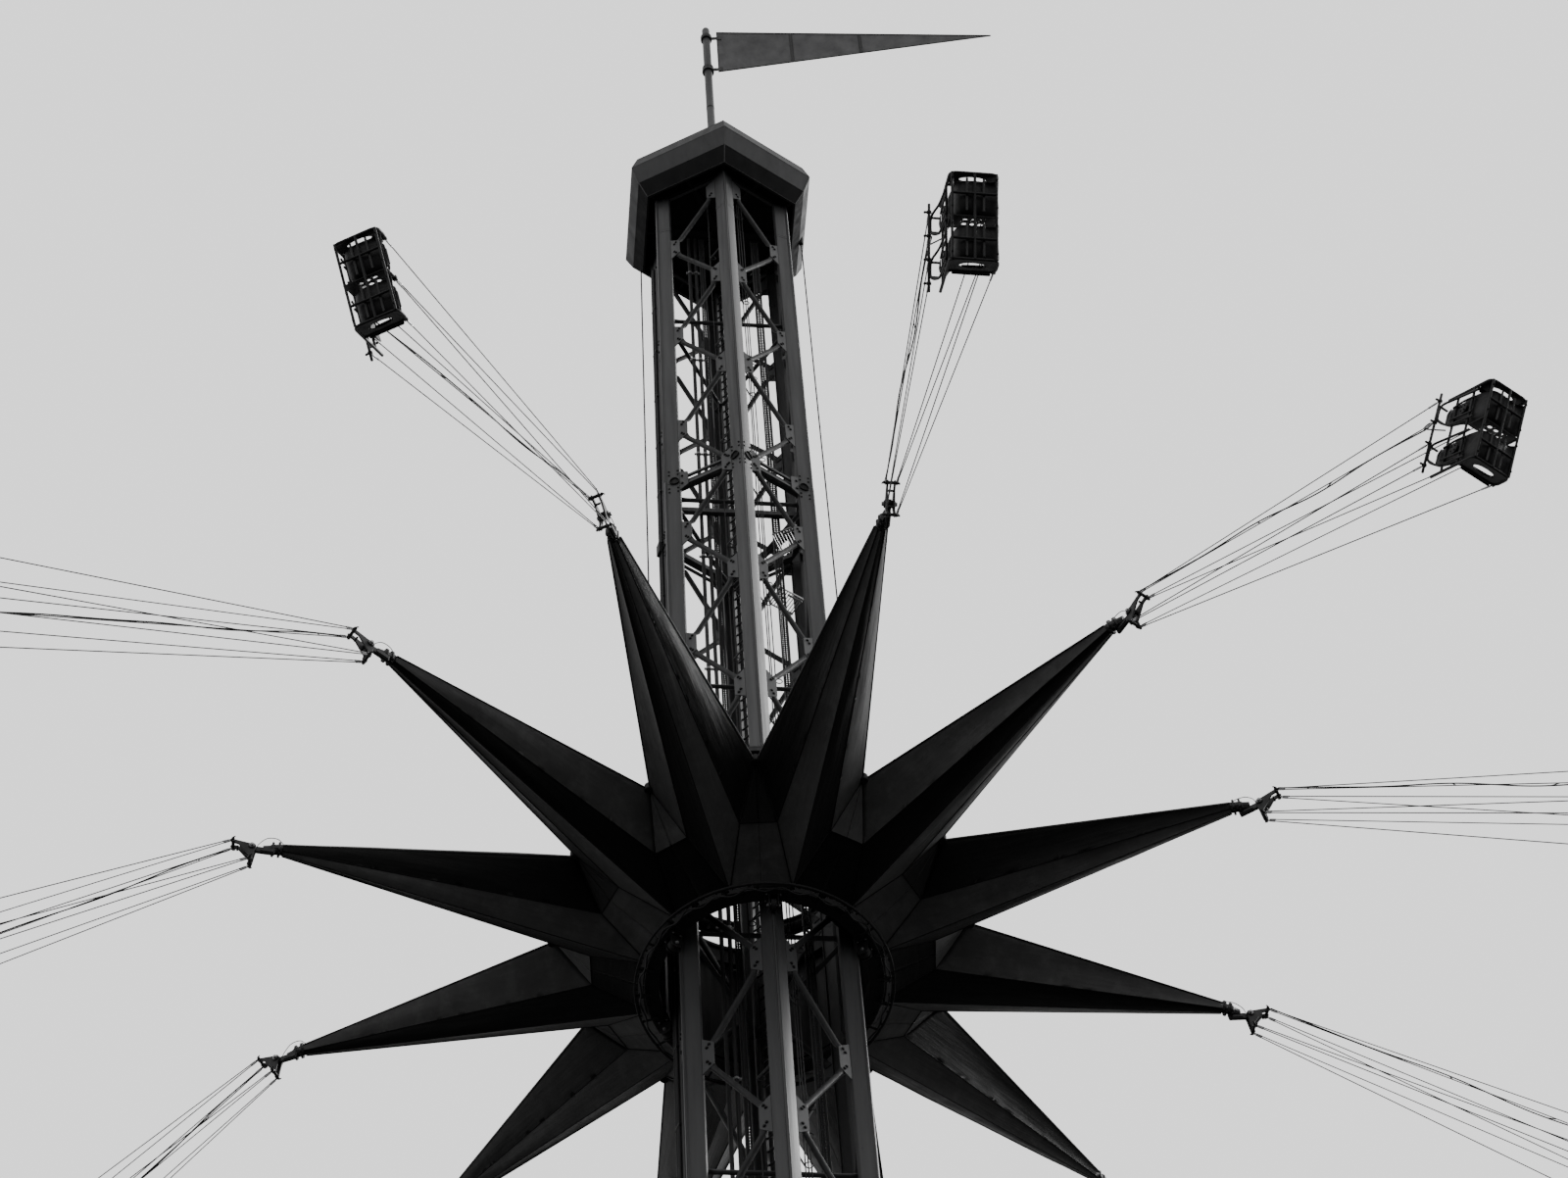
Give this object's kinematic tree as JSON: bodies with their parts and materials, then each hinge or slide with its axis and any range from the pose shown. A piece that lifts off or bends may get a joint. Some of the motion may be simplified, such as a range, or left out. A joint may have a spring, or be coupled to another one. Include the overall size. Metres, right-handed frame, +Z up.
{
  "type": "chair swing ride, 1:2 scale model",
  "caption": "Chair swing ride at half size: a hexagonal lattice tower with a cap and vane, a star of covered arms turning on a lifting carriage, and double chairs on cables.",
  "frame": {"origin": "centre of the base frame's underside, on the tower's axis", "axes": "+Z up the tower; one column faces -Y"},
  "size_m": [14.1468, 14.1468, 39],
  "materials": {
    "tower_paint": "satin",
    "cap_panels": "satin",
    "machine_paint": "satin",
    "tent_fabric": "matt",
    "seat_plastic": "satin",
    "rope_steel": "greased",
    "service_line": "satin",
    "vane_panel": "matt"
  },
  "bodies": {
    "root": {"base_frame": "tower_paint", "tower_column_1": "tower_paint", "bracing_panel_1": "tower_paint", "tower_column_2": "tower_paint", "bracing_panel_2": "tower_paint", "tower_column_3": "tower_paint", "bracing_panel_3": "tower_paint", "tower_column_4": "tower_paint", "bracing_panel_4": "tower_paint", "tower_column_5": "tower_paint", "bracing_panel_5": "tower_paint", "tower_column_6": "tower_paint", "bracing_panel_6": "tower_paint", "inner_ring_1": "tower_paint", "inner_ring_2": "tower_paint", "inner_ring_3": "tower_paint", "ladder": "tower_paint", "service_pipe_1": "service_line", "service_pipe_2": "service_line", "cable_tray_1": "tower_paint", "cable_tray_2": "tower_paint", "head_frame": "tower_paint", "cap_shell": "cap_panels", "cap_roof": "cap_panels", "mast": "tower_paint", "hoist_rope_1": "rope_steel", "hoist_rope_2": "rope_steel"},
    "carriage": {"carriage_frame": "machine_paint"},
    "star": {"star_hub": "machine_paint", "star_arm_01": "tent_fabric", "star_arm_02": "tent_fabric", "star_arm_03": "tent_fabric", "star_arm_04": "tent_fabric", "star_arm_05": "tent_fabric", "star_arm_06": "tent_fabric", "star_arm_07": "tent_fabric", "star_arm_08": "tent_fabric", "star_arm_09": "tent_fabric", "star_arm_10": "tent_fabric", "star_arm_11": "tent_fabric", "star_arm_12": "tent_fabric"},
    "chair_01": {"chair_01": "seat_plastic"},
    "chair_02": {"chair_02": "seat_plastic"},
    "chair_03": {"chair_03": "seat_plastic"},
    "chair_04": {"chair_04": "seat_plastic"},
    "chair_05": {"chair_05": "seat_plastic"},
    "chair_06": {"chair_06": "seat_plastic"},
    "chair_07": {"chair_07": "seat_plastic"},
    "chair_08": {"chair_08": "seat_plastic"},
    "chair_09": {"chair_09": "seat_plastic"},
    "chair_10": {"chair_10": "seat_plastic"},
    "chair_11": {"chair_11": "seat_plastic"},
    "chair_12": {"chair_12": "seat_plastic"},
    "vane": {"vane": "vane_panel"}
  },
  "joints": [
    {"name": "carriage_lift", "type": "slide", "parent": "root", "child": "carriage", "axis": [0, 0, 1], "range_m": [-18.8, 8.4], "deforming": ["hoist_rope_1", "hoist_rope_2"]},
    {"name": "star_turn", "type": "hinge", "parent": "carriage", "child": "star", "pos_m": [0, 0, 22.46], "axis": [0, 0, 1], "continuous": true},
    {"name": "chair_swing_01", "type": "hinge", "parent": "star", "child": "chair_01", "pos_m": [0.59092, -3.66872, 23.02], "axis": [-0.9998, -0.0201, 0], "range_deg": [-57, 5]},
    {"name": "chair_swing_02", "type": "hinge", "parent": "star", "child": "chair_02", "pos_m": [2.34611, -2.88174, 23.02], "axis": [-0.8558, -0.5173, 0], "range_deg": [-57, 5]},
    {"name": "chair_swing_03", "type": "hinge", "parent": "star", "child": "chair_03", "pos_m": [3.47266, -1.32261, 23.02], "axis": [-0.4825, -0.8759, 0], "range_deg": [-57, 5]},
    {"name": "chair_swing_04", "type": "hinge", "parent": "star", "child": "chair_04", "pos_m": [3.66872, 0.59092, 23.02], "axis": [0.0201, -0.9998, 0], "range_deg": [-57, 5]},
    {"name": "chair_swing_05", "type": "hinge", "parent": "star", "child": "chair_05", "pos_m": [2.88174, 2.34611, 23.02], "axis": [0.5173, -0.8558, 0], "range_deg": [-57, 5]},
    {"name": "chair_swing_06", "type": "hinge", "parent": "star", "child": "chair_06", "pos_m": [1.32261, 3.47266, 23.02], "axis": [0.8759, -0.4825, 0], "range_deg": [-57, 5]},
    {"name": "chair_swing_07", "type": "hinge", "parent": "star", "child": "chair_07", "pos_m": [-0.59092, 3.66872, 23.02], "axis": [0.9998, 0.0201, 0], "range_deg": [-57, 5]},
    {"name": "chair_swing_08", "type": "hinge", "parent": "star", "child": "chair_08", "pos_m": [-2.34611, 2.88174, 23.02], "axis": [0.8558, 0.5173, 0], "range_deg": [-57, 5]},
    {"name": "chair_swing_09", "type": "hinge", "parent": "star", "child": "chair_09", "pos_m": [-3.47266, 1.32261, 23.02], "axis": [0.4825, 0.8759, 0], "range_deg": [-57, 5]},
    {"name": "chair_swing_10", "type": "hinge", "parent": "star", "child": "chair_10", "pos_m": [-3.66872, -0.59092, 23.02], "axis": [-0.0201, 0.9998, 0], "range_deg": [-57, 5]},
    {"name": "chair_swing_11", "type": "hinge", "parent": "star", "child": "chair_11", "pos_m": [-2.88174, -2.34611, 23.02], "axis": [-0.5173, 0.8558, 0], "range_deg": [-57, 5]},
    {"name": "chair_swing_12", "type": "hinge", "parent": "star", "child": "chair_12", "pos_m": [-1.32261, -3.47266, 23.02], "axis": [-0.8759, 0.4825, 0], "range_deg": [-57, 5]},
    {"name": "vane_turn", "type": "hinge", "parent": "root", "child": "vane", "pos_m": [0, 0, 38], "axis": [0, 0, 1], "continuous": true}
  ]
}
